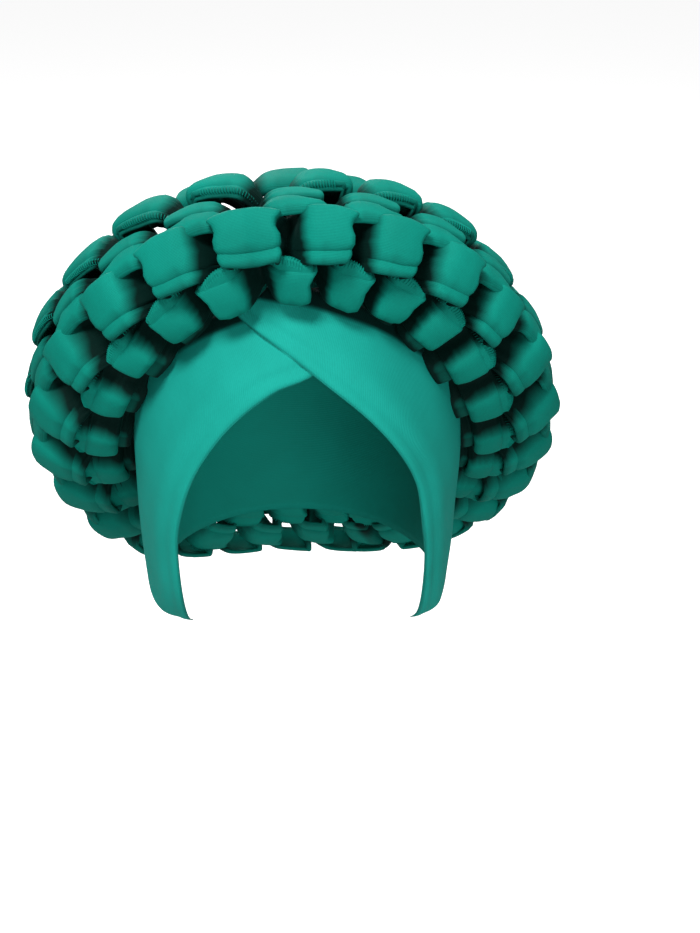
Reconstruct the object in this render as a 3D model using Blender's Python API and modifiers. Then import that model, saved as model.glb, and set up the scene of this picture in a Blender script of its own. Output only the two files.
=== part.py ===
"""Turban cap in air-layer knit: a cap, two folded panels that cross on the forehead, and a wide plaited halo.

Metres, +Z up, the face opening toward -Y. The origin is on the inside of the crown's top, where the cap
sits on the head. Heights inside the functions are measured from the level of the eyes, which is the
widest level of the cap, and the seat is SEAT_HEIGHT above it.
"""

import math

import bmesh
import bpy
from mathutils import Vector

# The cap's form, measured to the outside of the crown
HALF_WIDTH = 0.0795
FRONT_DEPTH = 0.0985
BACK_DEPTH = 0.0850
TOP_HEIGHT = 0.1110
JAW_DEPTH = 0.1080
NAPE_DEPTH = 0.2000
EAR_DEPTH = 0.4500
CROWN_THICKNESS = 0.0020
SEAT_HEIGHT = TOP_HEIGHT - CROWN_THICKNESS
CROWN_FRONT_EDGE = 0.0760
CROWN_NAPE_EDGE = -0.0720
CROWN_COLUMNS = 36
CROWN_RINGS = 8

# The two front panels, each a folded band of the same knit
PANEL_THICKNESS = 0.0030
PANEL_GAP = 0.0012
PANEL_ROWS = 5
PANEL_STEPS = 3

# Stations along a panel from its cheek tip to its hidden end past the crossing.
# Columns: face edge's turn from the front in degrees and height, then the same for the rear edge.
UNDER_STATIONS = (
    (45, -0.1000, 54, -0.1018),
    (46, -0.0880, 73, -0.0925),
    (46, -0.0500, 93, -0.0700),
    (45, -0.0260, 98, -0.0350),
    (41, -0.0050, 92, 0.0080),
    (34, 0.0190, 78, 0.0400),
    (23, 0.0420, 60, 0.0640),
    (9, 0.0575, 40, 0.0820),
    (-6, 0.0648, 14, 0.0930),
    (-24, 0.0768, -14, 0.0950),
)
OVER_STATIONS = (
    (46, -0.1000, 55, -0.1018),
    (48, -0.0880, 73, -0.0925),
    (47, -0.0450, 93, -0.0700),
    (45, -0.0200, 98, -0.0350),
    (42, 0.0060, 92, 0.0080),
    (34, 0.0285, 78, 0.0400),
    (22, 0.0490, 60, 0.0640),
    (6, 0.0662, 40, 0.0830),
    (-8, 0.0761, 14, 0.0950),
    (-27, 0.0850, -14, 0.0980),
)

# The halo, a plait of five rows of strip round the cap
CELLS = 24
SAMPLES_PER_CELL = 6
STRIP_THICKNESS = 0.0055
STRIP_ARCH = 0.0030
SWING = 0.0055
FULLNESS = 0.6
WIDTH_SWING = 0.175
OUTER_EDGE_WIDTH = 0.0100
SEAM_SHARE = 0.83
SEAM_SWING = 0.06
HALO_SHIFT = -0.0010

# How the faces are spread round the halo: the turn of the first, then how far they crowd and lean, in radians
PHASE = -0.157
CROWDING = 0.004
LEAN = -0.082
CROWDING_TWICE = -0.022
LEAN_TWICE = -0.011

# Columns: name, half width to the left and right, front point as y and height, the sides' y and their
# heights left and right, nape point as y and height, how far the shoulders stand higher left and right,
# how far the back corners hang lower left and right, the share of a cell that its faces are turned from
# the front row's, and the share of the gap to the next row that the strip covers. The seam is no strip:
# it is the line on the cap that the plait starts from.
SEAM = ("seam", (0.0838, 0.0851), (-0.0745, 0.0925), -0.0050, (-0.0130, -0.0130),
        (0.0863, -0.0767), (0.0, 0.0025), (0.0, 0.0))
HALO_ROWS = (
    ("inner", (0.0990, 0.0990), (-0.0795, 0.1090), -0.0090, (-0.0116, -0.0085),
     (0.0920, -0.0980), (0.0010, 0.0060), (0.0030, 0.0020), 0.5, 0.329),
    ("front", (0.1215, 0.1200), (-0.0830, 0.1275), 0.0010, (-0.0202, -0.0134),
     (0.1040, -0.1220), (0.0005, 0.0045), (0.0090, 0.0060), 0.0, 0.325),
    ("upper", (0.1330, 0.1297), (-0.0670, 0.1350), 0.0230, (-0.0185, -0.0145),
     (0.1240, -0.1360), (0.0005, 0.0035), (0.0150, 0.0070), 0.5, 0.350),
    ("top", (0.1385, 0.1240), (-0.0450, 0.1360), 0.0450, (-0.0107, -0.0011),
     (0.1380, -0.1140), (0.0030, 0.0030), (0.0130, 0.0060), 0.0, 0.366),
    ("outer", (0.1230, 0.1075), (-0.0220, 0.1345), 0.0620, (0.0005, 0.0099),
     (0.1360, -0.0860), (0.0050, 0.0035), (0.0090, 0.0040), 0.5, 0.450),
)

# Columns: distance across from the strip's middle as a share of its half width, and side of its thickness
STRIP_SECTION = ((-1.0, 0), (-0.6, 1), (0.6, 1), (1.0, 0), (0.6, -1), (-0.6, -1))

TEAL = (0.012, 0.330, 0.270, 1.0)
PART_NAME = "hijab_hat"


def clear_scene():
    for item in list(bpy.data.objects):
        bpy.data.objects.remove(item)


def part_collection():
    collection = bpy.data.collections.new(PART_NAME)
    bpy.context.scene.collection.children.link(collection)
    return collection


def knit_material(name, shade):
    material = bpy.data.materials.new(name)
    material.use_nodes = True
    shader = material.node_tree.nodes["Principled BSDF"]
    red, green, blue, alpha = TEAL
    shader.inputs["Base Color"].default_value = (red * shade, green * shade, blue * shade, alpha)
    shader.inputs["Roughness"].default_value = 0.85
    shader.inputs["Metallic"].default_value = 0.0
    return material


def form_point(turn, height, outside=0.0):
    """A point on the cap's form, turned by an angle from the front and a distance outside the crown."""
    top = TOP_HEIGHT + outside
    front = FRONT_DEPTH + outside
    back = BACK_DEPTH + outside
    forward = math.cos(turn)
    depth = front if forward > 0 else back
    below = JAW_DEPTH if forward > 0 else NAPE_DEPTH
    limit = top if height > 0 else below
    wide_limit = top if height > 0 else EAR_DEPTH
    depth *= math.sqrt(1 - (height / limit) ** 2)
    wide = (HALF_WIDTH + outside) * math.sqrt(1 - (height / wide_limit) ** 2)
    return Vector((wide * math.sin(turn), -depth * forward, height - SEAT_HEIGHT))


def finished_object(collection, name, mesh, shade, thickness=None):
    data = bpy.data.meshes.new(name)
    mesh.to_mesh(data)
    mesh.free()
    data.shade_smooth()
    item = bpy.data.objects.new(name, data)
    item.data.materials.append(knit_material(name, shade))
    collection.objects.link(item)
    if thickness:
        shell = item.modifiers.new("shell", "SOLIDIFY")
        shell.thickness = thickness
        shell.offset = -1.0


def make_crown(collection):
    """The plain cap over the top and back of the head, cut back behind the face opening."""
    mesh = bmesh.new()
    pole = mesh.verts.new((0, 0, TOP_HEIGHT - SEAT_HEIGHT))
    rings = [[] for _ in range(CROWN_RINGS)]
    for column in range(CROWN_COLUMNS):
        turn = math.tau * column / CROWN_COLUMNS
        toward_nape = (1 - math.cos(turn)) / 2
        blend = min(1.0, toward_nape / 0.55)
        blend = blend * blend * (3 - 2 * blend)
        edge = CROWN_FRONT_EDGE + (CROWN_NAPE_EDGE - CROWN_FRONT_EDGE) * blend
        edge_angle = math.acos(edge / TOP_HEIGHT)
        for ring in range(CROWN_RINGS):
            height = TOP_HEIGHT * math.cos(edge_angle * (ring + 1) / CROWN_RINGS)
            rings[ring].append(mesh.verts.new(form_point(turn, height)))
    for column in range(CROWN_COLUMNS):
        after = (column + 1) % CROWN_COLUMNS
        mesh.faces.new((pole, rings[0][column], rings[0][after]))
        for upper, lower in zip(rings, rings[1:]):
            mesh.faces.new((upper[column], lower[column], lower[after], upper[after]))
    finished_object(collection, "crown_cap", mesh, 0.9, CROWN_THICKNESS)


def between(first, second, share):
    return tuple(a + (b - a) * share for a, b in zip(first, second))


def panel_outside(turn, rises):
    """The over panel climbs onto the under panel where they cross on the forehead."""
    lift = 0.0
    if rises:
        reach = max(0.0, min(1.0, (math.radians(50) - turn) / math.radians(24)))
        lift = (PANEL_THICKNESS + PANEL_GAP) * reach * reach * (3 - 2 * reach)
    return PANEL_GAP + PANEL_THICKNESS + lift


def make_panel(collection, name, table, side, rises, shade):
    """A folded band from a cheek tip, over the ear and across the forehead to its hidden end."""
    stations = []
    for first, second in zip(table, table[1:]):
        stations += [between(first, second, step / PANEL_STEPS) for step in range(PANEL_STEPS)]
    stations.append(table[-1])
    rows = []
    for face_turn, face_height, rear_turn, rear_height in stations:
        row = []
        for step in range(PANEL_ROWS):
            turn, height = between((face_turn, face_height), (rear_turn, rear_height), step / (PANEL_ROWS - 1))
            turn = math.radians(turn)
            row.append(form_point(turn * side, height, panel_outside(turn, rises)))
        rows.append(row if side > 0 else row[::-1])
    mesh = bmesh.new()
    grid = [[mesh.verts.new(point) for point in row] for row in rows]
    for lower, upper in zip(grid, grid[1:]):
        for column in range(PANEL_ROWS - 1):
            mesh.faces.new((lower[column], lower[column + 1], upper[column + 1], upper[column]))
    finished_object(collection, name, mesh, shade, PANEL_THICKNESS)


def cell_angle(cell):
    """The turn round the halo of a place counted in cells, from the front and toward +X."""
    even = math.tau * cell / CELLS
    once = CROWDING * math.sin(even) + LEAN * (1 - math.cos(even))
    twice = CROWDING_TWICE * math.sin(2 * even) + LEAN_TWICE * (1 - math.cos(2 * even))
    return even + PHASE + once + twice


def ring_point(row, turn):
    """A point on a row's middle line, through its front, side and nape points."""
    _, sides, front, side_y, side_heights, nape, shoulders, corners = row[:8]
    along = math.cos(turn)
    out = math.sin(turn)
    right = 1 if out > 0 else 0
    place = []
    for front_value, side_value, nape_value in zip(front, (side_y, side_heights[right]), nape):
        middle = (front_value + nape_value) / 2
        half = (front_value - nape_value) / 2
        place.append(middle + half * along + (side_value - middle) * out * out)
    bulge = shoulders[right] if along > 0 else -corners[right]
    height = place[1] + bulge * math.sin(2 * turn) ** 2
    return Vector((HALO_SHIFT + sides[right] * out, place[0], height - SEAT_HEIGHT))


def ring_frame(number, turn):
    """The middle line's point, the directions across the plait and out of it, and the gaps to both sides."""
    row = HALO_ROWS[number]
    step = 0.01
    here = ring_point(row, turn)
    along = ring_point(row, turn + step) - ring_point(row, turn - step)
    inner = ring_point(HALO_ROWS[number - 1] if number else SEAM, turn)
    outer = ring_point(HALO_ROWS[min(len(HALO_ROWS) - 1, number + 1)], turn)
    out = along.cross(outer - inner).normalized()
    across = out.cross(along).normalized()
    return here, across, out, (here - inner).length, (outer - here).length


def half_widths(number, wave, inner_gap, outer_gap):
    """How far the strip reaches to either side: wide at a face, narrow in a dip."""
    covered = HALO_ROWS[number][9]
    share = covered + WIDTH_SWING * wave
    inner_width = inner_gap * share
    outer_width = outer_gap * share
    if number == 0:
        inner_width = inner_gap * (SEAM_SHARE + SEAM_SWING * wave)
    if number == len(HALO_ROWS) - 1:
        outer_width = OUTER_EDGE_WIDTH * share / covered
    return inner_width, outer_width


def make_halo_row(collection, number):
    """One closed strip that bulges into a face in every cell and dips between them."""
    row = HALO_ROWS[number]
    name, offset = row[0], row[8]
    mesh = bmesh.new()
    sections = []
    count = CELLS * SAMPLES_PER_CELL
    for sample in range(count):
        cell = sample / SAMPLES_PER_CELL + offset
        middle, across, out, inner_gap, outer_gap = ring_frame(number, cell_angle(cell))
        wave = math.cos(math.tau * (cell - offset))
        wave = math.copysign(abs(wave) ** FULLNESS, wave)
        inner_width, outer_width = half_widths(number, wave, inner_gap, outer_gap)
        section = []
        for share, side in STRIP_SECTION:
            reach = share * (outer_width if share > 0 else inner_width)
            rise = SWING * wave + side * STRIP_THICKNESS / 2 - STRIP_ARCH * share * share
            section.append(mesh.verts.new(middle + across * reach + out * rise))
        sections.append(section)
    points = len(STRIP_SECTION)
    for sample in range(count):
        here = sections[sample]
        after = sections[(sample + 1) % count]
        for point in range(points):
            beyond = (point + 1) % points
            mesh.faces.new((here[point], here[beyond], after[beyond], after[point]))
    bmesh.ops.recalc_face_normals(mesh, faces=mesh.faces)
    finished_object(collection, "braid_row_" + name, mesh, 1.0)


def main():
    clear_scene()
    collection = part_collection()
    make_crown(collection)
    make_panel(collection, "front_panel_under", UNDER_STATIONS, -1, False, 1.1)
    make_panel(collection, "front_panel_over", OVER_STATIONS, 1, True, 1.1)
    for number in range(len(HALO_ROWS)):
        make_halo_row(collection, number)


main()
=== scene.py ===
"""Turban cap in air-layer knit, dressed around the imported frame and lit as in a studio.

Metres, +Z up, the face opening toward -Y. Heights inside the form functions are measured from the level
of a wearer's eyes, as in the part, and the seat on the inside of the crown is the origin.
"""

import math
import random
from collections import namedtuple

import bpy
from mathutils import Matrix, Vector, noise


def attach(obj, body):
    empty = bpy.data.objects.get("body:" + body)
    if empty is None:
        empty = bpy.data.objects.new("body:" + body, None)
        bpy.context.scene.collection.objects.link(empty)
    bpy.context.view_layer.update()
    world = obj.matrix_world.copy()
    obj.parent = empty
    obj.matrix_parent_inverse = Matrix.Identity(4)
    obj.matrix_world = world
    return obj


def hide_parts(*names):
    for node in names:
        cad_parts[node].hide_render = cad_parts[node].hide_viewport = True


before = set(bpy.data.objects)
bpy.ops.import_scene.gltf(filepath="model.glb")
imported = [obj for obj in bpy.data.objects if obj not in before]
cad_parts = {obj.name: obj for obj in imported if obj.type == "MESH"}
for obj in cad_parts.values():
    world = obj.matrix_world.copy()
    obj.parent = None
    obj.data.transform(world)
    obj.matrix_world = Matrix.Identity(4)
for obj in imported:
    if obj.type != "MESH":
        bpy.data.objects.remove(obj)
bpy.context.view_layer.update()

# The cap's form, with the part's values. Here the cap reaches lower at the nape, behind the inner row, and
# the panels lie closer to it, so that less daylight shows between the pieces.
HALF_WIDTH = 0.0795
FRONT_DEPTH = 0.0985
BACK_DEPTH = 0.0850
TOP_HEIGHT = 0.1110
JAW_DEPTH = 0.1080
NAPE_DEPTH = 0.2000
EAR_DEPTH = 0.4500
CROWN_THICKNESS = 0.0020
SEAT_HEIGHT = TOP_HEIGHT - CROWN_THICKNESS
CROWN_FRONT_EDGE = 0.0760
CROWN_NAPE_EDGE = -0.0890
CROWN_COLUMNS = 120
CROWN_RINGS = 40
PANEL_THICKNESS = 0.0030
PANEL_GAP = 0.0004

# Stations along a panel from its cheek tip to its hidden end past the crossing, the part's apart from the
# over panel's face edge beside the cheek, which lies a little nearer the ear.
# Columns: face edge's turn from the front in degrees and height, then the same for the rear edge.
UNDER_STATIONS = (
    (45, -0.1000, 54, -0.1018),
    (46, -0.0880, 73, -0.0925),
    (46, -0.0500, 93, -0.0700),
    (45, -0.0260, 98, -0.0350),
    (41, -0.0050, 92, 0.0080),
    (34, 0.0190, 78, 0.0400),
    (23, 0.0420, 60, 0.0640),
    (9, 0.0575, 40, 0.0820),
    (-6, 0.0648, 14, 0.0930),
    (-24, 0.0768, -14, 0.0950),
)
OVER_STATIONS = (
    (51, -0.1000, 57, -0.1018),
    (54, -0.0880, 73, -0.0925),
    (52, -0.0450, 93, -0.0700),
    (48, -0.0200, 98, -0.0350),
    (43, 0.0060, 92, 0.0080),
    (34, 0.0285, 78, 0.0400),
    (22, 0.0490, 60, 0.0640),
    (6, 0.0662, 40, 0.0830),
    (-8, 0.0761, 14, 0.0950),
    (-27, 0.0850, -14, 0.0980),
)

# A panel's surface beside its face edge: the whole band tucks in, and its outside rolls, dips and swells.
# Columns: height, distance from the edge, width, in metres.
EDGE_TUCK = (-0.0009, 0.0, 0.0040)
EDGE_FORMS = (
    (-0.0010, 0.0, 0.0022),
    (-0.0010, 0.0078, 0.0032),
    (0.0007, 0.0170, 0.0065),
)
PANEL_STEPS = (30, 6)
PANEL_STEPS_BETWEEN = 12

# Where the over panel climbs onto the under panel, as turns from the front in degrees
CLIMB_START = 50
CLIMB_LENGTH = 24

# A panel's painted shade: a painted contact shadow along its face edge and a painted shadow where it goes
# under the plait, in metres from each edge
FACE_EDGE_SHADE = 0.32
FACE_EDGE_SHADE_WIDTH = 0.0014
COVERED_SHADE = 0.62
COVERED_WIDTH = 0.0115
COVERED_FADE = 0.0045

# The halo, with the part's middle lines
CELLS = 24
HALO_SHIFT = -0.0010

# How the faces are spread round the halo: the turn of the first, then how far they crowd and lean, in radians
PHASE = -0.157
CROWDING = 0.004
LEAN = -0.082
CROWDING_TWICE = -0.022
LEAN_TWICE = -0.011
OUTER_EDGE_WIDTH = 0.0200

# Columns: name, half width to the left and right, front point as y and height, the sides' y and their
# heights left and right, nape point as y and height, how far the shoulders stand higher left and right,
# how far the back corners hang lower left and right, and the share of a cell that its faces are turned
# from the front row's.
SEAM = ("seam", (0.0838, 0.0851), (-0.0745, 0.0925), -0.0050, (-0.0130, -0.0130),
        (0.0863, -0.0767), (0.0, 0.0025), (0.0, 0.0))
HALO_ROWS = (
    ("inner", (0.0990, 0.0990), (-0.0795, 0.1090), -0.0090, (-0.0116, -0.0085),
     (0.0920, -0.0980), (0.0010, 0.0060), (0.0030, 0.0020), 0.5),
    ("front", (0.1215, 0.1200), (-0.0830, 0.1275), 0.0010, (-0.0202, -0.0134),
     (0.1040, -0.1220), (0.0005, 0.0045), (0.0090, 0.0060), 0.0),
    ("upper", (0.1330, 0.1297), (-0.0670, 0.1350), 0.0230, (-0.0185, -0.0145),
     (0.1240, -0.1360), (0.0005, 0.0035), (0.0150, 0.0070), 0.5),
    ("top", (0.1385, 0.1240), (-0.0450, 0.1360), 0.0450, (-0.0107, -0.0011),
     (0.1380, -0.1140), (0.0030, 0.0030), (0.0130, 0.0060), 0.0),
    ("outer", (0.1230, 0.1075), (-0.0220, 0.1345), 0.0620, (0.0005, 0.0099),
     (0.1360, -0.0860), (0.0050, 0.0035), (0.0090, 0.0040), 0.5),
)

# How a strip runs from the middle of a face to the bottom of the gap beside it.
# Columns: place as a share of a cell, rise as a share of the way from the bottom of the gap to the crest.
CRISP_END = (
    (0.10, 0.975), (0.22, 1.0), (0.33, 1.0), (0.362, 0.994), (0.373, 0.955),
    (0.371, 0.86), (0.362, 0.62), (0.362, 0.36), (0.380, 0.16), (0.43, 0.03),
)
SOFT_END = (
    (0.10, 0.90), (0.18, 0.79), (0.245, 0.64), (0.295, 0.47), (0.335, 0.30),
    (0.375, 0.15), (0.425, 0.04),
)
FACE_MIDDLE = 0.95
STEPS_BETWEEN = 2

# A face's flat part ends here as a share of a cell, and each row's faces are longer than that by a factor
FLAT_END = 0.36
LENGTHENING = {"inner": 1.0, "front": 1.0, "upper": 1.20, "top": 1.08, "outer": 1.20}

# Faces get shorter toward the sides, where the gaps between them are seen wide open
SHORTENING = {"inner": 0.30, "front": 0.30, "upper": 0.24, "top": 0.10, "outer": 0.0}

# These rows' faces sit a little back from their place in the plait, as a share of a cell
SET_BACK = {"top": -0.14, "outer": -0.10}

# How deep each row's gaps go below its middle line, and how far its faces stand above it.
# Columns: depth at the front, depth at the sides and back, crest at the front, crest at the sides and back
DEPTHS = {
    "inner": (0.0140, 0.0075, 0.0030, 0.0030),
    "front": (0.0180, 0.0160, 0.0036, 0.0036),
    "upper": (0.0160, 0.0150, 0.0044, 0.0040),
    "top": (0.0140, 0.0140, 0.0078, 0.0030),
    "outer": (0.0055, 0.0070, 0.0024, 0.0014),
}

# Side outlines: how far the end of a face reaches past its straight end, in millimetres.
# Columns: distance across the layer from its inner edge, -1, to its outer edge, 1, then the reach.
BARREL = ((-1.0, -0.8), (-0.6, 0.6), (-0.2, 0.3), (0.15, -1.3), (0.5, -0.9), (0.82, 1.2), (1.0, 2.0))
BUCKET = ((-1.0, -2.2), (-0.8, -0.4), (-0.3, -0.2), (0.2, -0.7), (0.6, 0.6), (1.0, 2.4))
HALF_MOON = ((-1.0, 3.0), (-0.6, 2.4), (0.0, 0.6), (0.6, -2.6), (1.0, -5.5))
LOBE = ((-1.0, 0.0), (0.0, 1.0), (1.0, 0.0))

# The layers of each row. Columns: inner and outer edge, minus toward the inner row, as shares of the gaps
# to the next rows, how far each edge draws in toward the ends of a face, where along the half face that
# begins, drop below the top layer, half thickness, arch across, side outline.
LAYERS = {
    "inner": (
        (-0.78, 0.24, 0.20, 0.00, 0.50, 0.0000, 0.0016, 0.0016, BUCKET),
        (0.02, 0.52, 0.00, 0.80, 0.05, 0.0012, 0.0011, 0.0004, LOBE),
        (0.02, 0.47, 0.00, 0.75, 0.05, 0.0036, 0.0010, 0.0003, LOBE),
        (-1.00, -0.50, 0.10, 0.00, 0.15, 0.0054, 0.0010, 0.0004, LOBE),
    ),
    "front": (
        (-0.34, 0.72, 0.12, 0.20, 0.25, 0.0000, 0.0017, 0.0020, BARREL),
        (-0.62, -0.10, 0.30, 0.00, 0.15, 0.0016, 0.0011, 0.0006, LOBE),
    ),
    "upper": (
        (-0.56, 0.18, 0.10, 0.90, 0.15, 0.0000, 0.0017, 0.0024, HALF_MOON),
        (-0.10, 0.37, 0.00, 0.60, 0.15, -0.0006, 0.0013, 0.0006, LOBE),
    ),
    "top": (
        (-0.36, 0.54, 0.05, 0.80, 0.15, 0.0000, 0.0018, 0.0028, HALF_MOON),
        (-0.48, -0.05, 0.45, 0.00, 0.15, 0.0014, 0.0010, 0.0004, LOBE),
        (-0.50, -0.05, 0.45, 0.00, 0.15, 0.0036, 0.0009, 0.0004, LOBE),
    ),
    "outer": (
        (-0.60, 0.90, 0.15, 0.15, 0.15, 0.0000, 0.0020, 0.0040, BARREL),
    ),
}

# The layers whose raw edge is wrapped with thread, the side it is on, 1 outer or -1 inner, how far along the
# half face the thread goes, and the threads' sizes in metres. Shorter runs of places get none.
STITCHED = {"inner": (1, 1), "top": (1, -1)}
STITCHED_TO = 0.66
THREAD_SPACING = 0.00125
THREAD_RADIUS = 0.00028
THREAD_SLANT = 0.0005
THREAD_REACH = 0.0030
LEAST_STITCHED = 3

# Flat and round steps along each side of a layer's section, fewer where the layer is mostly hidden
SHOWN_STEPS = (8, 5)
HIDDEN_STEPS = (6, 4)
FIRST_HIDDEN = 2

# Each face's own small differences, the least and the most of each: width as a factor, twist, lift in
# metres, and a spare that keeps the draws in order
HABIT_RANGES = ((0.94, 1.06), (-0.06, 0.06), (-0.0008, 0.0008), (-0.0006, 0.0006))
TWIST_REACH = 0.03

# How a layer's edges draw in: done by this place along the half face, and hardly at all at the back
DRAWN_BY = 0.80
BACK_SLACK = 0.85
LEAST_HALF_WIDTH = 0.0025

# The inner row's top layer narrows beside the ears, where its tucked layer reaches the seam
SIDE_NARROWING = 0.22
TUCKED_REACH = 0.82

# Where along the half face the side outline comes in and goes out, each as a place and a length, and its
# share at a soft end and in the inner row beside the ears
OUTLINE_START = (0.35, 0.30)
OUTLINE_END = (0.82, 0.18)
SOFT_OUTLINE = 0.35
INNER_SIDE_OUTLINE = 0.3

# The knit's own unevenness. Columns: cycles a metre along and across, height.
BROAD_WAVER = (90, 120, 0.0005)
FINE_WAVER = (260, 60, 0.00025)

# Small gathers in the soft end of a face, in metres: height at the front and what the sides add
GATHER_HEIGHT = 0.0003
GATHER_AT_SIDES = 0.0009
GATHERS = 1900

# Painted shade toward the bottom of a gap, with places as shares of a cell. The tucked layer's painted shade
# is scaled and then raised, lower layers and the low side of each layer get more of it, and threads a little
# less.
CRISP_SHADE = 1.4
SOFT_SHADE = 0.75
SHADE_START = 0.08
SHADE_EARLIER = 0.05
SHADE_LENGTH = 0.24
BACK_SHADE_LOSS = 0.5
OUTER_ROW_SHADE = 0.6
TUCKED_SHADE = (0.7, 0.34)
LOW_SIDE_SHADE = 0.24
LOWER_LAYER_SHADE = 0.10
THREAD_LESS_SHADE = 0.12

# Columns: name, light tone, dark tone, width of a rib in metres, slant of the ribs in radians
KNITS = (
    ("braid_knit", (0.003, 0.226, 0.174), (0.001, 0.108, 0.079), 0.0006, 0.0),
    ("panel_knit", (0.010, 0.320, 0.262), (0.005, 0.216, 0.172), 0.0008, math.radians(45)),
    ("crown_knit", (0.005, 0.220, 0.175), (0.002, 0.150, 0.115), 0.0007, 0.0),
)

# Columns: name, place, size in metres, power in watts
LAMPS = (
    ("key", (-0.45, -1.00, 1.35), 0.55, 35.0),
    ("fill", (0.35, -1.45, -0.05), 0.9, 13.0),
    ("top", (0.1, 0.5, 1.5), 0.9, 16.0),
    ("back", (-0.4, 1.6, 0.7), 1.0, 14.0),
)
LIT_POINT = (0.0, 0.0, -0.08)

Habit = namedtuple("Habit", ("width", "twist", "lift", "spare"))
Layer = namedtuple("Layer", (
    "inner_edge", "outer_edge", "inner_draw", "outer_draw", "draw_start",
    "drop", "half_thickness", "arch", "outline",
))
Station = namedtuple("Station", (
    "middle", "turn", "along", "across", "out", "inner_gap", "outer_gap",
    "face", "local", "away", "toward", "crisp", "rise", "habit",
))
EdgePlace = namedtuple("EdgePlace", (
    "place", "point", "normal", "outward", "along", "half_thickness", "travelled", "shade",
))


def between(first, second, share):
    return tuple(a + (b - a) * share for a, b in zip(first, second))


def smooth(value):
    value = max(0.0, min(1.0, value))
    return value * value * (3 - 2 * value)


def from_table(table, place):
    """A value from a table of place and value, smooth between its lines."""
    if place <= table[0][0]:
        return table[0][1]
    for (start, low), (end, high) in zip(table, table[1:]):
        if place <= end:
            return low + (high - low) * smooth((place - start) / (end - start))
    return table[-1][1]


def curve_through(points, steps, closed):
    """Points on a smooth curve through the given ones, steps of them for each stretch."""
    count = len(points)
    places = []
    stretches = count if closed else count - 1
    for number in range(stretches):
        numbers = [number - 1, number, number + 1, number + 2]
        if closed:
            numbers = [place % count for place in numbers]
        else:
            numbers = [max(0, min(count - 1, place)) for place in numbers]
        near = [points[place] for place in numbers]
        for step in range(steps):
            t = step / steps
            places.append(tuple(
                0.5 * (2 * b + (c - a) * t
                       + (2 * a - 5 * b + 4 * c - d) * t * t
                       + (3 * b - a - 3 * c + d) * t ** 3)
                for a, b, c, d in zip(*near)
            ))
    if not closed:
        places.append(tuple(points[-1]))
    return places


def form_point(turn, height, outside=0.0):
    """A point on the cap's form, turned by an angle from the front and a distance outside the crown."""
    top = TOP_HEIGHT + outside
    front = FRONT_DEPTH + outside
    back = BACK_DEPTH + outside
    forward = math.cos(turn)
    depth = front if forward > 0 else back
    below = JAW_DEPTH if forward > 0 else NAPE_DEPTH
    limit = top if height > 0 else below
    wide_limit = top if height > 0 else EAR_DEPTH
    depth *= math.sqrt(max(0.0, 1 - (height / limit) ** 2))
    wide = (HALF_WIDTH + outside) * math.sqrt(max(0.0, 1 - (height / wide_limit) ** 2))
    return Vector((wide * math.sin(turn), -depth * forward, height - SEAT_HEIGHT))


def cell_angle(cell):
    """The turn round the halo of a place counted in cells, from the front and toward +X."""
    even = math.tau * cell / CELLS
    once = CROWDING * math.sin(even) + LEAN * (1 - math.cos(even))
    twice = CROWDING_TWICE * math.sin(2 * even) + LEAN_TWICE * (1 - math.cos(2 * even))
    return even + PHASE + once + twice


def ring_point(row, turn):
    """A point on a row's middle line, through its front, side and nape points."""
    _, sides, front, side_y, side_heights, nape, shoulders, corners = row[:8]
    along = math.cos(turn)
    out = math.sin(turn)
    right = 1 if out > 0 else 0
    place = []
    for front_value, side_value, nape_value in zip(front, (side_y, side_heights[right]), nape):
        middle = (front_value + nape_value) / 2
        half = (front_value - nape_value) / 2
        place.append(middle + half * along + (side_value - middle) * out * out)
    bulge = shoulders[right] if along > 0 else -corners[right]
    height = place[1] + bulge * math.sin(2 * turn) ** 2
    return Vector((HALO_SHIFT + sides[right] * out, place[0], height - SEAT_HEIGHT))


def ring_frame(number, turn):
    """The middle line's point, the directions along, across and out of it, and the gaps to both sides."""
    row = HALO_ROWS[number]
    step = 0.01
    here = ring_point(row, turn)
    along = (ring_point(row, turn + step) - ring_point(row, turn - step)).normalized()
    inner = ring_point(HALO_ROWS[number - 1] if number else SEAM, turn)
    last = number == len(HALO_ROWS) - 1
    outer = ring_point(HALO_ROWS[number if last else number + 1], turn)
    out = along.cross(outer - inner).normalized()
    across = out.cross(along).normalized()
    outer_gap = OUTER_EDGE_WIDTH if last else (outer - here).length
    return here, along, across, out, (here - inner).length, outer_gap


def mesh_piece(name, points, faces, cloth, material):
    """One object from points and faces, with each point's place on the cloth and its painted shade kept for
    the material.
    """
    data = bpy.data.meshes.new(name)
    data.from_pydata(points, [], faces)
    data.validate()
    data.shade_smooth()
    marks = data.attributes.new("cloth", "FLOAT_VECTOR", "POINT")
    marks.data.foreach_set("vector", [value for mark in cloth for value in mark])
    item = bpy.data.objects.new(name, data)
    item.data.materials.append(material)
    bpy.context.scene.collection.objects.link(item)
    return item


def band_outline(half_width, half_thickness, flat_steps, round_steps):
    """The outline of a folded band: places across it and heights, all in metres, once round."""
    radius = min(half_thickness, half_width * 0.9)
    flat = half_width - radius
    outline = []
    for step in range(flat_steps):
        outline.append((-flat + 2 * flat * step / flat_steps, half_thickness))
    for step in range(round_steps):
        angle = math.pi / 2 - math.pi * step / round_steps
        outline.append((flat + radius * math.cos(angle), half_thickness * math.sin(angle)))
    for step in range(flat_steps):
        outline.append((flat - 2 * flat * step / flat_steps, -half_thickness))
    for step in range(round_steps):
        angle = -math.pi / 2 - math.pi * step / round_steps
        outline.append((-flat + radius * math.cos(angle), half_thickness * math.sin(angle)))
    return outline


def add_tube_faces(faces, start, rings, size, closed):
    for ring in range(rings if closed else rings - 1):
        here = start + ring * size
        after = start + ((ring + 1) % rings) * size
        for point in range(size):
            beyond = (point + 1) % size
            faces.append((here + point, after + point, after + beyond, here + beyond))


def sideways(turn):
    """How far round to a side a place is: none at the front, whole at the ears."""
    return smooth((abs(math.sin(turn)) - 0.30) / 0.50)


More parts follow.
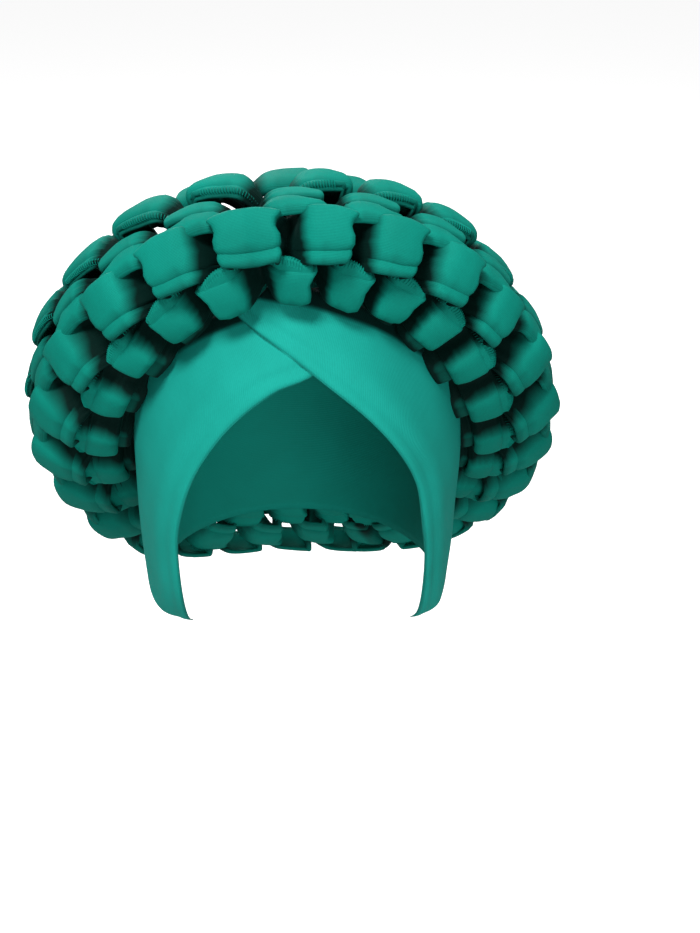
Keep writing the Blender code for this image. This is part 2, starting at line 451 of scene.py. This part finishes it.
def face_offset(number):
    name, offset = HALO_ROWS[number][0], HALO_ROWS[number][8]
    return offset + SET_BACK.get(name, 0.0)


def lengthened(place, factor):
    """A place along half a face when the face's flat part is longer by a factor and its gap shorter."""
    end = FLAT_END * factor
    if place <= FLAT_END:
        return place * factor
    return end + (place - FLAT_END) * (0.5 - end) / (0.5 - FLAT_END)


def row_stations(number):
    """Places along a row's strip: the cell, and the rise as a share of the way from gap to crest."""
    offset = face_offset(number)
    name = HALO_ROWS[number][0]
    controls = []
    for count in range(CELLS):
        face = offset + count - CELLS / 2
        crisp_before = face <= 0.01
        crisp_after = face >= -0.01
        before = CRISP_END if crisp_before else SOFT_END
        after = CRISP_END if crisp_after else SOFT_END
        factor = LENGTHENING[name] - SHORTENING[name] * sideways(cell_angle(face))
        controls.append((face - 0.5, 0.0))
        controls += [(face - lengthened(place, factor), rise) for place, rise in reversed(before)]
        controls.append((face, FACE_MIDDLE))
        controls += [(face + lengthened(place, factor), rise) for place, rise in after]
    wrapped = [(math.cos(math.tau * c / CELLS), math.sin(math.tau * c / CELLS), r) for c, r in controls]
    stations = []
    for along, out, rise in curve_through(wrapped, STEPS_BETWEEN, True):
        cell = math.atan2(out, along) / math.tau * CELLS
        stations.append((cell, rise))
    return stations


def nearest_face(cell, offset):
    face = math.floor(cell - offset + 0.5) + offset
    return face, cell - face


def face_habits(name):
    """Each face's own small differences, always the same. The spare draw keeps the others in order."""
    draw = random.Random("knit " + name)
    return [Habit(*(draw.uniform(low, high) for low, high in HABIT_RANGES)) for _ in range(CELLS)]


def row_path(number):
    """Where a row's strip runs, with the directions there and the place's part in its face."""
    name, offset = HALO_ROWS[number][0], face_offset(number)
    front_depth, side_depth, front_crest, side_crest = DEPTHS[name]
    habits = face_habits(name)
    path = []
    for cell, rise in row_stations(number):
        face, local = nearest_face(cell, offset)
        habit = habits[int(round(face - offset)) % CELLS]
        turn = cell_angle(cell)
        here, along, across, out, inner_gap, outer_gap = ring_frame(number, turn)
        forward = max(0.0, math.cos(turn))
        depth = side_depth + (front_depth - side_depth) * forward ** 2
        crest = side_crest + (front_crest - side_crest) * forward ** 2
        level = -depth + (depth + crest + habit.lift) * rise
        away = min(1.0, abs(local) / 0.5)
        toward = 1 if local > 0 else -1
        crisp = abs(face) < 0.01 or toward == (1 if face > 0 else -1)
        path.append(Station(here + out * level, turn, along, across, out, inner_gap, outer_gap,
                            face, local, away, toward, crisp, rise, habit))
    return path


def layer_span(number, layer_number, layer, station):
    """Where a layer lies across the strip: its centre and half its width."""
    draw_in = smooth((station.away - layer.draw_start) / (DRAWN_BY - layer.draw_start * 0.5))
    draw_in *= 1 - BACK_SLACK * smooth(-2 * math.cos(station.turn))
    inner_edge = layer.inner_edge * (station.inner_gap if layer.inner_edge < 0 else station.outer_gap)
    outer_edge = layer.outer_edge * (station.outer_gap if layer.outer_edge > 0 else station.inner_gap)
    if number == 0:
        beside = sideways(station.turn)
        tucked = layer.inner_edge <= -1
        inner_edge *= TUCKED_REACH + (1 - TUCKED_REACH) * beside if tucked else 1 - SIDE_NARROWING * beside
    centre = (inner_edge + outer_edge) / 2
    inner_edge += (centre - inner_edge) * layer.inner_draw * draw_in
    outer_edge += (centre - outer_edge) * layer.outer_draw * draw_in
    if layer_number == 0:
        inner_edge *= station.habit.width
        outer_edge *= station.habit.width
    return (inner_edge + outer_edge) / 2, max(LEAST_HALF_WIDTH, (outer_edge - inner_edge) / 2)


def gap_shade(name, layer, station):
    """Painted shade toward the bottom of a gap, less of it at the back of the halo."""
    if station.crisp:
        shade = (1 - station.rise) * CRISP_SHADE
    else:
        start = SHADE_START - SHADE_EARLIER * sideways(station.turn)
        shade = smooth((abs(station.local) - start) / SHADE_LENGTH) * SOFT_SHADE
    own = OUTER_ROW_SHADE if name == "outer" else 1.0
    shade *= own * (1 - BACK_SHADE_LOSS * smooth(0.25 - 1.5 * math.cos(station.turn)))
    if layer.inner_edge <= -1:
        shade = shade * TUCKED_SHADE[0] + TUCKED_SHADE[1]
    return shade


def outline_weight(number, station):
    """How far the side outline shapes a place: most near the end of a face, none at its very end."""
    weight = smooth((station.away - OUTLINE_START[0]) / OUTLINE_START[1])
    weight *= 1 - smooth((station.away - OUTLINE_END[0]) / OUTLINE_END[1])
    weight *= 1.0 if station.crisp else SOFT_OUTLINE
    if number == 0:
        weight *= 1 - (1 - INNER_SIDE_OUTLINE) * sideways(station.turn)
    return weight


def unevenness(number, layer_number, station, travelled, side):
    """Small wavers of the knit, and gathers in the soft end of a face."""
    along, across, height = BROAD_WAVER
    layer_place = number * 7.3 + layer_number
    waver = noise.noise(Vector((travelled * along, side * across, layer_place))) * height
    along, across, height = FINE_WAVER
    face_place = number * 3.1 + station.face
    waver += noise.noise(Vector((travelled * along, side * across, face_place))) * height * station.away
    if station.crisp:
        return waver
    gather = GATHER_HEIGHT + GATHER_AT_SIDES * sideways(station.turn)
    phase = 2.5 * math.sin(station.face * 2.1) + station.away * 2
    return waver + math.sin(side * GATHERS + phase) * smooth((station.away - 0.05) / 0.4) * gather


def add_layer(number, layer_number, path, points, faces, cloth):
    """One folded layer of a row's strip. Gives the places along its raw edge that are wrapped with thread."""
    name = HALO_ROWS[number][0]
    layer = Layer(*LAYERS[name][layer_number])
    stitched_layer, stitched_side = STITCHED.get(name, (None, 0))
    flat_steps, round_steps = SHOWN_STEPS if layer_number < FIRST_HIDDEN else HIDDEN_STEPS
    start = len(points)
    travelled = 0.0
    edges = []
    for place, station in enumerate(path):
        after = path[(place + 1) % len(path)]
        normal = (after.middle - path[place - 1].middle).cross(station.across).normalized()
        centre, half_width = layer_span(number, layer_number, layer, station)
        weight = outline_weight(number, station)
        shade = gap_shade(name, layer, station)
        for reach, thick in band_outline(half_width, layer.half_thickness, flat_steps, round_steps):
            share = reach / half_width
            side = centre + reach + station.habit.twist * station.local * TWIST_REACH
            push = from_table(layer.outline, share) * 0.001 * weight * station.toward
            rise = thick + unevenness(number, layer_number, station, travelled, side)
            point = station.middle + station.across * side + station.along * push
            point += normal * rise - station.out * (layer.drop + layer.arch * share * share)
            points.append(point)
            # Painted shade: more on the low side of each layer and on the lower layers, added to the painted
            # gap shade.
            low = LOW_SIDE_SHADE * smooth((-share - 0.1) / 0.9) + (LOWER_LAYER_SHADE if layer_number else 0.0)
            cloth.append((travelled, side, shade + low))
        if stitched_layer == layer_number and station.away < STITCHED_TO:
            edge = station.across * (centre + stitched_side * half_width)
            edge_point = station.middle + edge - station.out * (layer.drop + layer.arch)
            edges.append(EdgePlace(place, edge_point, normal, station.across * stitched_side, station.along,
                                   layer.half_thickness, travelled, shade))
        travelled += (after.middle - station.middle).length
    add_tube_faces(faces, start, len(path), 2 * (flat_steps + round_steps), True)
    return edges


def make_row(number, material):
    """One row of the plait: its folded layers follow one path that bulges and dives."""
    name = HALO_ROWS[number][0]
    path = row_path(number)
    points, faces, cloth = [], [], []
    edges = []
    for layer_number in range(len(LAYERS[name])):
        edges += add_layer(number, layer_number, path, points, faces, cloth)
    add_overlock(points, faces, cloth, edges)
    return mesh_piece("knit_row_" + name, points, faces, cloth, material)


def add_overlock(points, faces, cloth, edges):
    """Short threads wrapped over a raw edge, one after the other."""
    runs = []
    for edge in edges:
        if runs and edge.place == runs[-1][-1].place + 1:
            runs[-1].append(edge)
        else:
            runs.append([edge])
    for run in runs:
        if len(run) < LEAST_STITCHED:
            continue
        length = 0.0
        next_at = 0.0
        for first, second in zip(run, run[1:]):
            stretch = (second.point - first.point).length
            while next_at <= length + stretch:
                share = (next_at - length) / stretch if stretch else 0.0
                add_thread(points, faces, cloth, first.point.lerp(second.point, share), first)
                next_at += THREAD_SPACING
            length += stretch


def add_thread(points, faces, cloth, middle, edge):
    """One thread, over the edge from its top to its underside."""
    half = edge.half_thickness
    slant = edge.along * THREAD_SLANT
    way = (
        middle - edge.outward * THREAD_REACH + edge.normal * (half + THREAD_RADIUS * 0.6) - slant,
        middle - edge.outward * half * 0.7 + edge.normal * (half + THREAD_RADIUS * 1.4),
        middle + edge.outward * THREAD_RADIUS * 1.2 + slant * 0.3,
        middle - edge.outward * half * 0.7 - edge.normal * (half + THREAD_RADIUS) + slant,
    )
    corners = 4
    start = len(points)
    for place, spot in enumerate(way):
        direction = (way[min(len(way) - 1, place + 1)] - way[max(0, place - 1)]).normalized()
        wide = direction.cross(edge.along).normalized()
        for corner in range(corners):
            angle = math.tau * corner / corners
            points.append(spot + (edge.along * math.cos(angle) + wide * math.sin(angle)) * THREAD_RADIUS)
            # The thread carries the edge's painted shade, a little less of it.
            cloth.append((edge.travelled, 0.0, edge.shade - THREAD_LESS_SHADE))
    add_tube_faces(faces, start, len(way), corners, False)
    last = start + (len(way) - 1) * corners
    faces.append(tuple(start + corner for corner in reversed(range(corners))))
    faces.append(tuple(last + corner for corner in range(corners)))


def panel_outside(turn, rises):
    """The over panel climbs onto the under panel where they cross on the forehead."""
    lift = 0.0
    if rises:
        reach = smooth((math.radians(CLIMB_START) - turn) / math.radians(CLIMB_LENGTH))
        lift = (PANEL_THICKNESS + PANEL_GAP) * reach
    return PANEL_GAP + PANEL_THICKNESS / 2 + lift


def ridge(form, distance):
    height, middle, width = form
    return height * math.exp(-((distance - middle) / width) ** 2)


def panel_shade(from_face, from_rear, rear_height):
    """Painted shade: a painted contact shadow along a panel's face edge, and a painted shadow on its rear
    edge where the plait covers it.
    """
    covered = smooth((rear_height + 0.02) / 0.04) * smooth((COVERED_WIDTH - from_rear) / COVERED_FADE)
    return max(COVERED_SHADE * covered, ridge((FACE_EDGE_SHADE, 0.0, FACE_EDGE_SHADE_WIDTH), from_face))


def make_panel(name, table, side, rises, material):
    """A folded band from a cheek tip, over the ear and across the forehead to its hidden end."""
    stations = curve_through(table, PANEL_STEPS_BETWEEN, False)
    flat_steps, round_steps = PANEL_STEPS
    size = 2 * (flat_steps + round_steps)
    points, faces, cloth = [], [], []
    travelled = 0.0
    before = None
    for face_turn, face_height, rear_turn, rear_height in stations:
        start_point = form_point(math.radians(face_turn) * side, face_height)
        end_point = form_point(math.radians(rear_turn) * side, rear_height)
        half_width = max(0.004, (end_point - start_point).length * 0.54)
        if before is not None:
            travelled += ((start_point - before[0]).length + (end_point - before[1]).length) / 2
        before = (start_point, end_point)
        for reach, thick in band_outline(half_width, PANEL_THICKNESS / 2, flat_steps, round_steps):
            share = (reach / half_width + 1) / 2
            turn, height = between((face_turn, face_height), (rear_turn, rear_height), share)
            turn = math.radians(turn)
            from_edge = reach + half_width
            outside = panel_outside(turn, rises) + ridge(EDGE_TUCK, from_edge) + thick
            if thick > 0:
                waver = noise.noise(Vector((travelled * 28, reach * 30, 4.0 + side))) * 0.0007
                outside += sum(ridge(form, from_edge) for form in EDGE_FORMS) + waver
            points.append(form_point(turn * side, height, outside))
            cloth.append((travelled, reach, panel_shade(from_edge, half_width - reach, rear_height)))
    rings = len(stations)
    add_tube_faces(faces, 0, rings, size, False)
    faces.append(tuple(range(size)))
    faces.append(tuple((rings - 1) * size + point for point in reversed(range(size))))
    if side > 0:
        faces = [tuple(reversed(face)) for face in faces]
    return mesh_piece(name, points, faces, cloth, material)


def crown_edge(turn):
    """How high the cap's edge runs: over the forehead at the front, down to the nape from the ears back."""
    blend = smooth(min(1.0, (1 - math.cos(turn)) / 2 / 0.55))
    return CROWN_FRONT_EDGE + (CROWN_NAPE_EDGE - CROWN_FRONT_EDGE) * blend


def make_crown(material):
    """The plain cap over the top and back of the head, a thin shell with a turned edge."""
    columns, rings = CROWN_COLUMNS, CROWN_RINGS
    points, faces, cloth = [], [], []
    for inner in (False, True):
        inside = -CROWN_THICKNESS if inner else 0.0
        points.append(Vector((0, 0, TOP_HEIGHT + inside - SEAT_HEIGHT)))
        cloth.append((0.0, 0.0, 0.0))
        for column in range(columns):
            turn = math.tau * column / columns
            edge = crown_edge(turn)
            for ring in range(rings):
                height = TOP_HEIGHT * math.cos(math.acos(edge / TOP_HEIGHT) * (ring + 1) / rings)
                height = min(height, TOP_HEIGHT + inside - 0.00002)
                waver = 0.0
                if not inner:
                    place = Vector((math.cos(turn) * 3, math.sin(turn) * 3, ring / 9))
                    waver = noise.noise(place) * 0.0005 - 0.0002
                points.append(form_point(turn, height, inside + waver))
                cloth.append((turn * 0.09, ring * 0.004, 0.0))
    layer = 1 + columns * rings
    for inner in (False, True):
        start = layer if inner else 0
        for column in range(columns):
            after = (column + 1) % columns
            here_row = start + 1 + column * rings
            after_row = start + 1 + after * rings
            made = [(start, here_row, after_row)]
            for ring in range(rings - 1):
                made.append((here_row + ring, here_row + ring + 1, after_row + ring + 1, after_row + ring))
            faces += [tuple(reversed(face)) for face in made] if inner else made
    for column in range(columns):
        after = (column + 1) % columns
        outer_here = 1 + column * rings + rings - 1
        outer_after = 1 + after * rings + rings - 1
        faces.append((outer_here, layer + outer_here, layer + outer_after, outer_after))
    return mesh_piece("knit_crown", points, faces, cloth, material)


def knit_material(name, light, dark, rib, slant):
    """Air-layer knit: fine ribs, a soft matt face with a little sheen, and painted shade down in the gaps and
    folds.
    """
    material = bpy.data.materials.new(name)
    material.use_nodes = True
    nodes, links = material.node_tree.nodes, material.node_tree.links
    shader = nodes["Principled BSDF"]
    place = nodes.new("ShaderNodeAttribute")
    place.attribute_name = "cloth"
    parts = nodes.new("ShaderNodeSeparateXYZ")
    links.new(place.outputs["Vector"], parts.inputs[0])

    def math_node(operation, first, second=None, third=None):
        node = nodes.new("ShaderNodeMath")
        node.operation = operation
        for socket, value in zip(node.inputs, (first, second, third)):
            if value is None:
                continue
            if isinstance(value, (int, float)):
                socket.default_value = value
            else:
                links.new(value, socket)
        return node.outputs[0]

    along, across, painted_gap_shade = parts.outputs
    across_part = math_node("MULTIPLY", across, math.sin(slant))
    first_way = math_node("MULTIPLY_ADD", along, math.cos(slant), across_part)
    across_part = math_node("MULTIPLY", across, math.cos(slant))
    second_way = math_node("MULTIPLY_ADD", along, -math.sin(slant), across_part)
    ribs = math_node("SINE", math_node("MULTIPLY", second_way, math.tau / rib))
    loops = math_node("SINE", math_node("MULTIPLY", first_way, math.tau / (rib * 0.8)))
    weave = math_node("MULTIPLY_ADD", loops, 0.30, math_node("MULTIPLY", ribs, 0.70))

    spread = nodes.new("ShaderNodeTexNoise")
    spread.inputs["Scale"].default_value = 38.0
    spread.inputs["Detail"].default_value = 3.0
    where = nodes.new("ShaderNodeTexCoord")
    links.new(where.outputs["Object"], spread.inputs["Vector"])
    fuzz = nodes.new("ShaderNodeTexNoise")
    fuzz.inputs["Scale"].default_value = 1500.0
    fuzz.inputs["Detail"].default_value = 2.0
    links.new(where.outputs["Object"], fuzz.inputs["Vector"])

    tone = nodes.new("ShaderNodeMix")
    tone.data_type = "RGBA"
    tone.inputs["A"].default_value = (*dark, 1.0)
    tone.inputs["B"].default_value = (*light, 1.0)
    mixed = math_node("MULTIPLY_ADD", weave, 0.18, 0.04)
    mixed = math_node("MULTIPLY_ADD", spread.outputs["Fac"], 0.7, mixed)
    mixed = math_node("MULTIPLY_ADD", fuzz.outputs["Fac"], 0.34, mixed)
    links.new(mixed, tone.inputs["Factor"])

    # Painted shade: the third part of the cloth mark darkens the tone toward a near-black painted shade
    # colour.
    shade = nodes.new("ShaderNodeMapRange")
    shade.inputs["From Min"].default_value = 0.14
    shade.inputs["From Max"].default_value = 0.60
    shade.inputs["To Min"].default_value = 0.0
    shade.inputs["To Max"].default_value = 0.96
    links.new(painted_gap_shade, shade.inputs["Value"])
    painted_shade_mix = nodes.new("ShaderNodeMix")
    painted_shade_mix.data_type = "RGBA"
    links.new(shade.outputs["Result"], painted_shade_mix.inputs["Factor"])
    links.new(tone.outputs["Result"], painted_shade_mix.inputs["A"])
    painted_shade_mix.inputs["B"].default_value = (0.0006, 0.0035, 0.0028, 1.0)
    links.new(painted_shade_mix.outputs["Result"], shader.inputs["Base Color"])

    bump = nodes.new("ShaderNodeBump")
    bump.inputs["Strength"].default_value = 0.28
    bump.inputs["Distance"].default_value = 0.0002
    height = math_node("MULTIPLY_ADD", fuzz.outputs["Fac"], 0.6, weave)
    links.new(height, bump.inputs["Height"])
    links.new(bump.outputs["Normal"], shader.inputs["Normal"])

    rough = nodes.new("ShaderNodeMapRange")
    rough.inputs["To Min"].default_value = 0.62
    rough.inputs["To Max"].default_value = 0.80
    links.new(spread.outputs["Fac"], rough.inputs["Value"])
    links.new(rough.outputs["Result"], shader.inputs["Roughness"])
    shader.inputs["Specular IOR Level"].default_value = 0.05
    shader.inputs["Sheen Weight"].default_value = 0.025
    shader.inputs["Sheen Roughness"].default_value = 0.45
    shader.inputs["Sheen Tint"].default_value = (0.10, 0.85, 0.70, 1.0)
    return material


def studio_floor():
    """A plain pale floor, well below the hat. It throws less light back than it shows to the camera."""
    data = bpy.data.meshes.new("studio_floor")
    reach, level = 14.0, -0.42
    corners = [(-reach, -reach, level), (reach, -reach, level), (reach, reach, level), (-reach, reach, level)]
    data.from_pydata(corners, [], [(0, 1, 2, 3)])
    floor = bpy.data.objects.new("studio_floor", data)
    bpy.context.scene.collection.objects.link(floor)
    material = bpy.data.materials.new("studio_floor")
    material.use_nodes = True
    nodes, links = material.node_tree.nodes, material.node_tree.links
    shader = nodes["Principled BSDF"]
    shader.inputs["Roughness"].default_value = 0.9
    shader.inputs["Specular IOR Level"].default_value = 0.1
    seen = nodes.new("ShaderNodeLightPath")
    tone = nodes.new("ShaderNodeMix")
    tone.data_type = "RGBA"
    tone.inputs["A"].default_value = (0.30, 0.30, 0.30, 1.0)
    tone.inputs["B"].default_value = (0.60, 0.60, 0.60, 1.0)
    links.new(seen.outputs["Is Camera Ray"], tone.inputs["Factor"])
    links.new(tone.outputs["Result"], shader.inputs["Base Color"])
    shader.inputs["Emission Color"].default_value = (1.0, 1.0, 1.0, 1.0)
    glow = nodes.new("ShaderNodeMath")
    glow.operation = "MULTIPLY"
    glow.inputs[1].default_value = 0.75
    links.new(seen.outputs["Is Camera Ray"], glow.inputs[0])
    links.new(glow.outputs[0], shader.inputs["Emission Strength"])
    data.materials.append(material)


def area_light(name, place, size, power):
    data = bpy.data.lights.new(name, "AREA")
    data.shape = "DISK"
    data.size = size
    data.energy = power
    light = bpy.data.objects.new(name, data)
    light.location = place
    light.rotation_euler = (Vector(LIT_POINT) - Vector(place)).to_track_quat("-Z", "Y").to_euler()
    bpy.context.scene.collection.objects.link(light)


def studio_light():
    """Soft lamps and a dim white room, which looks pale to the camera."""
    world = bpy.data.worlds.new("studio")
    bpy.context.scene.world = world
    world.use_nodes = True
    nodes, links = world.node_tree.nodes, world.node_tree.links
    background = nodes["Background"]
    background.inputs["Color"].default_value = (1.0, 1.0, 1.0, 1.0)
    seen = nodes.new("ShaderNodeLightPath")
    strength = nodes.new("ShaderNodeMapRange")
    strength.inputs["To Min"].default_value = 0.30
    strength.inputs["To Max"].default_value = 0.95
    links.new(seen.outputs["Is Camera Ray"], strength.inputs["Value"])
    links.new(strength.outputs["Result"], background.inputs["Strength"])
    for lamp in LAMPS:
        area_light(*lamp)


def photo_camera():
    """The photograph's view: from in front and above, a little left of the picture's middle."""
    data = bpy.data.cameras.new("photo_camera")
    picture_height, focal_pixels = 933, 1200
    picture_middle, axis_pixel = 350, 297
    data.sensor_width = 36.0
    data.lens = data.sensor_width * focal_pixels / picture_height
    data.shift_x = (picture_middle - axis_pixel) / picture_height
    camera = bpy.data.objects.new("photo_camera", data)
    camera.location = (0.0, -0.555, 0.161)
    camera.rotation_euler = (math.radians(90 - 27.7), 0.0, 0.0)
    bpy.context.scene.collection.objects.link(camera)
    bpy.context.scene.camera = camera


def dress():
    knits = {name: knit_material(name, *look) for name, *look in KNITS}

    for number, row in enumerate(HALO_ROWS):
        piece = make_row(number, knits["braid_knit"])
        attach(piece, "root")
        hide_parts("braid_row_" + row[0])

    under = make_panel("knit_panel_under", UNDER_STATIONS, -1, False, knits["panel_knit"])
    over = make_panel("knit_panel_over", OVER_STATIONS, 1, True, knits["panel_knit"])
    crown = make_crown(knits["crown_knit"])
    for piece, node in ((under, "front_panel_under"), (over, "front_panel_over"), (crown, "crown_cap")):
        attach(piece, "root")
        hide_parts(node)


bpy.context.scene.view_settings.view_transform = "Standard"
photo_camera()
dress()
studio_floor()
studio_light()
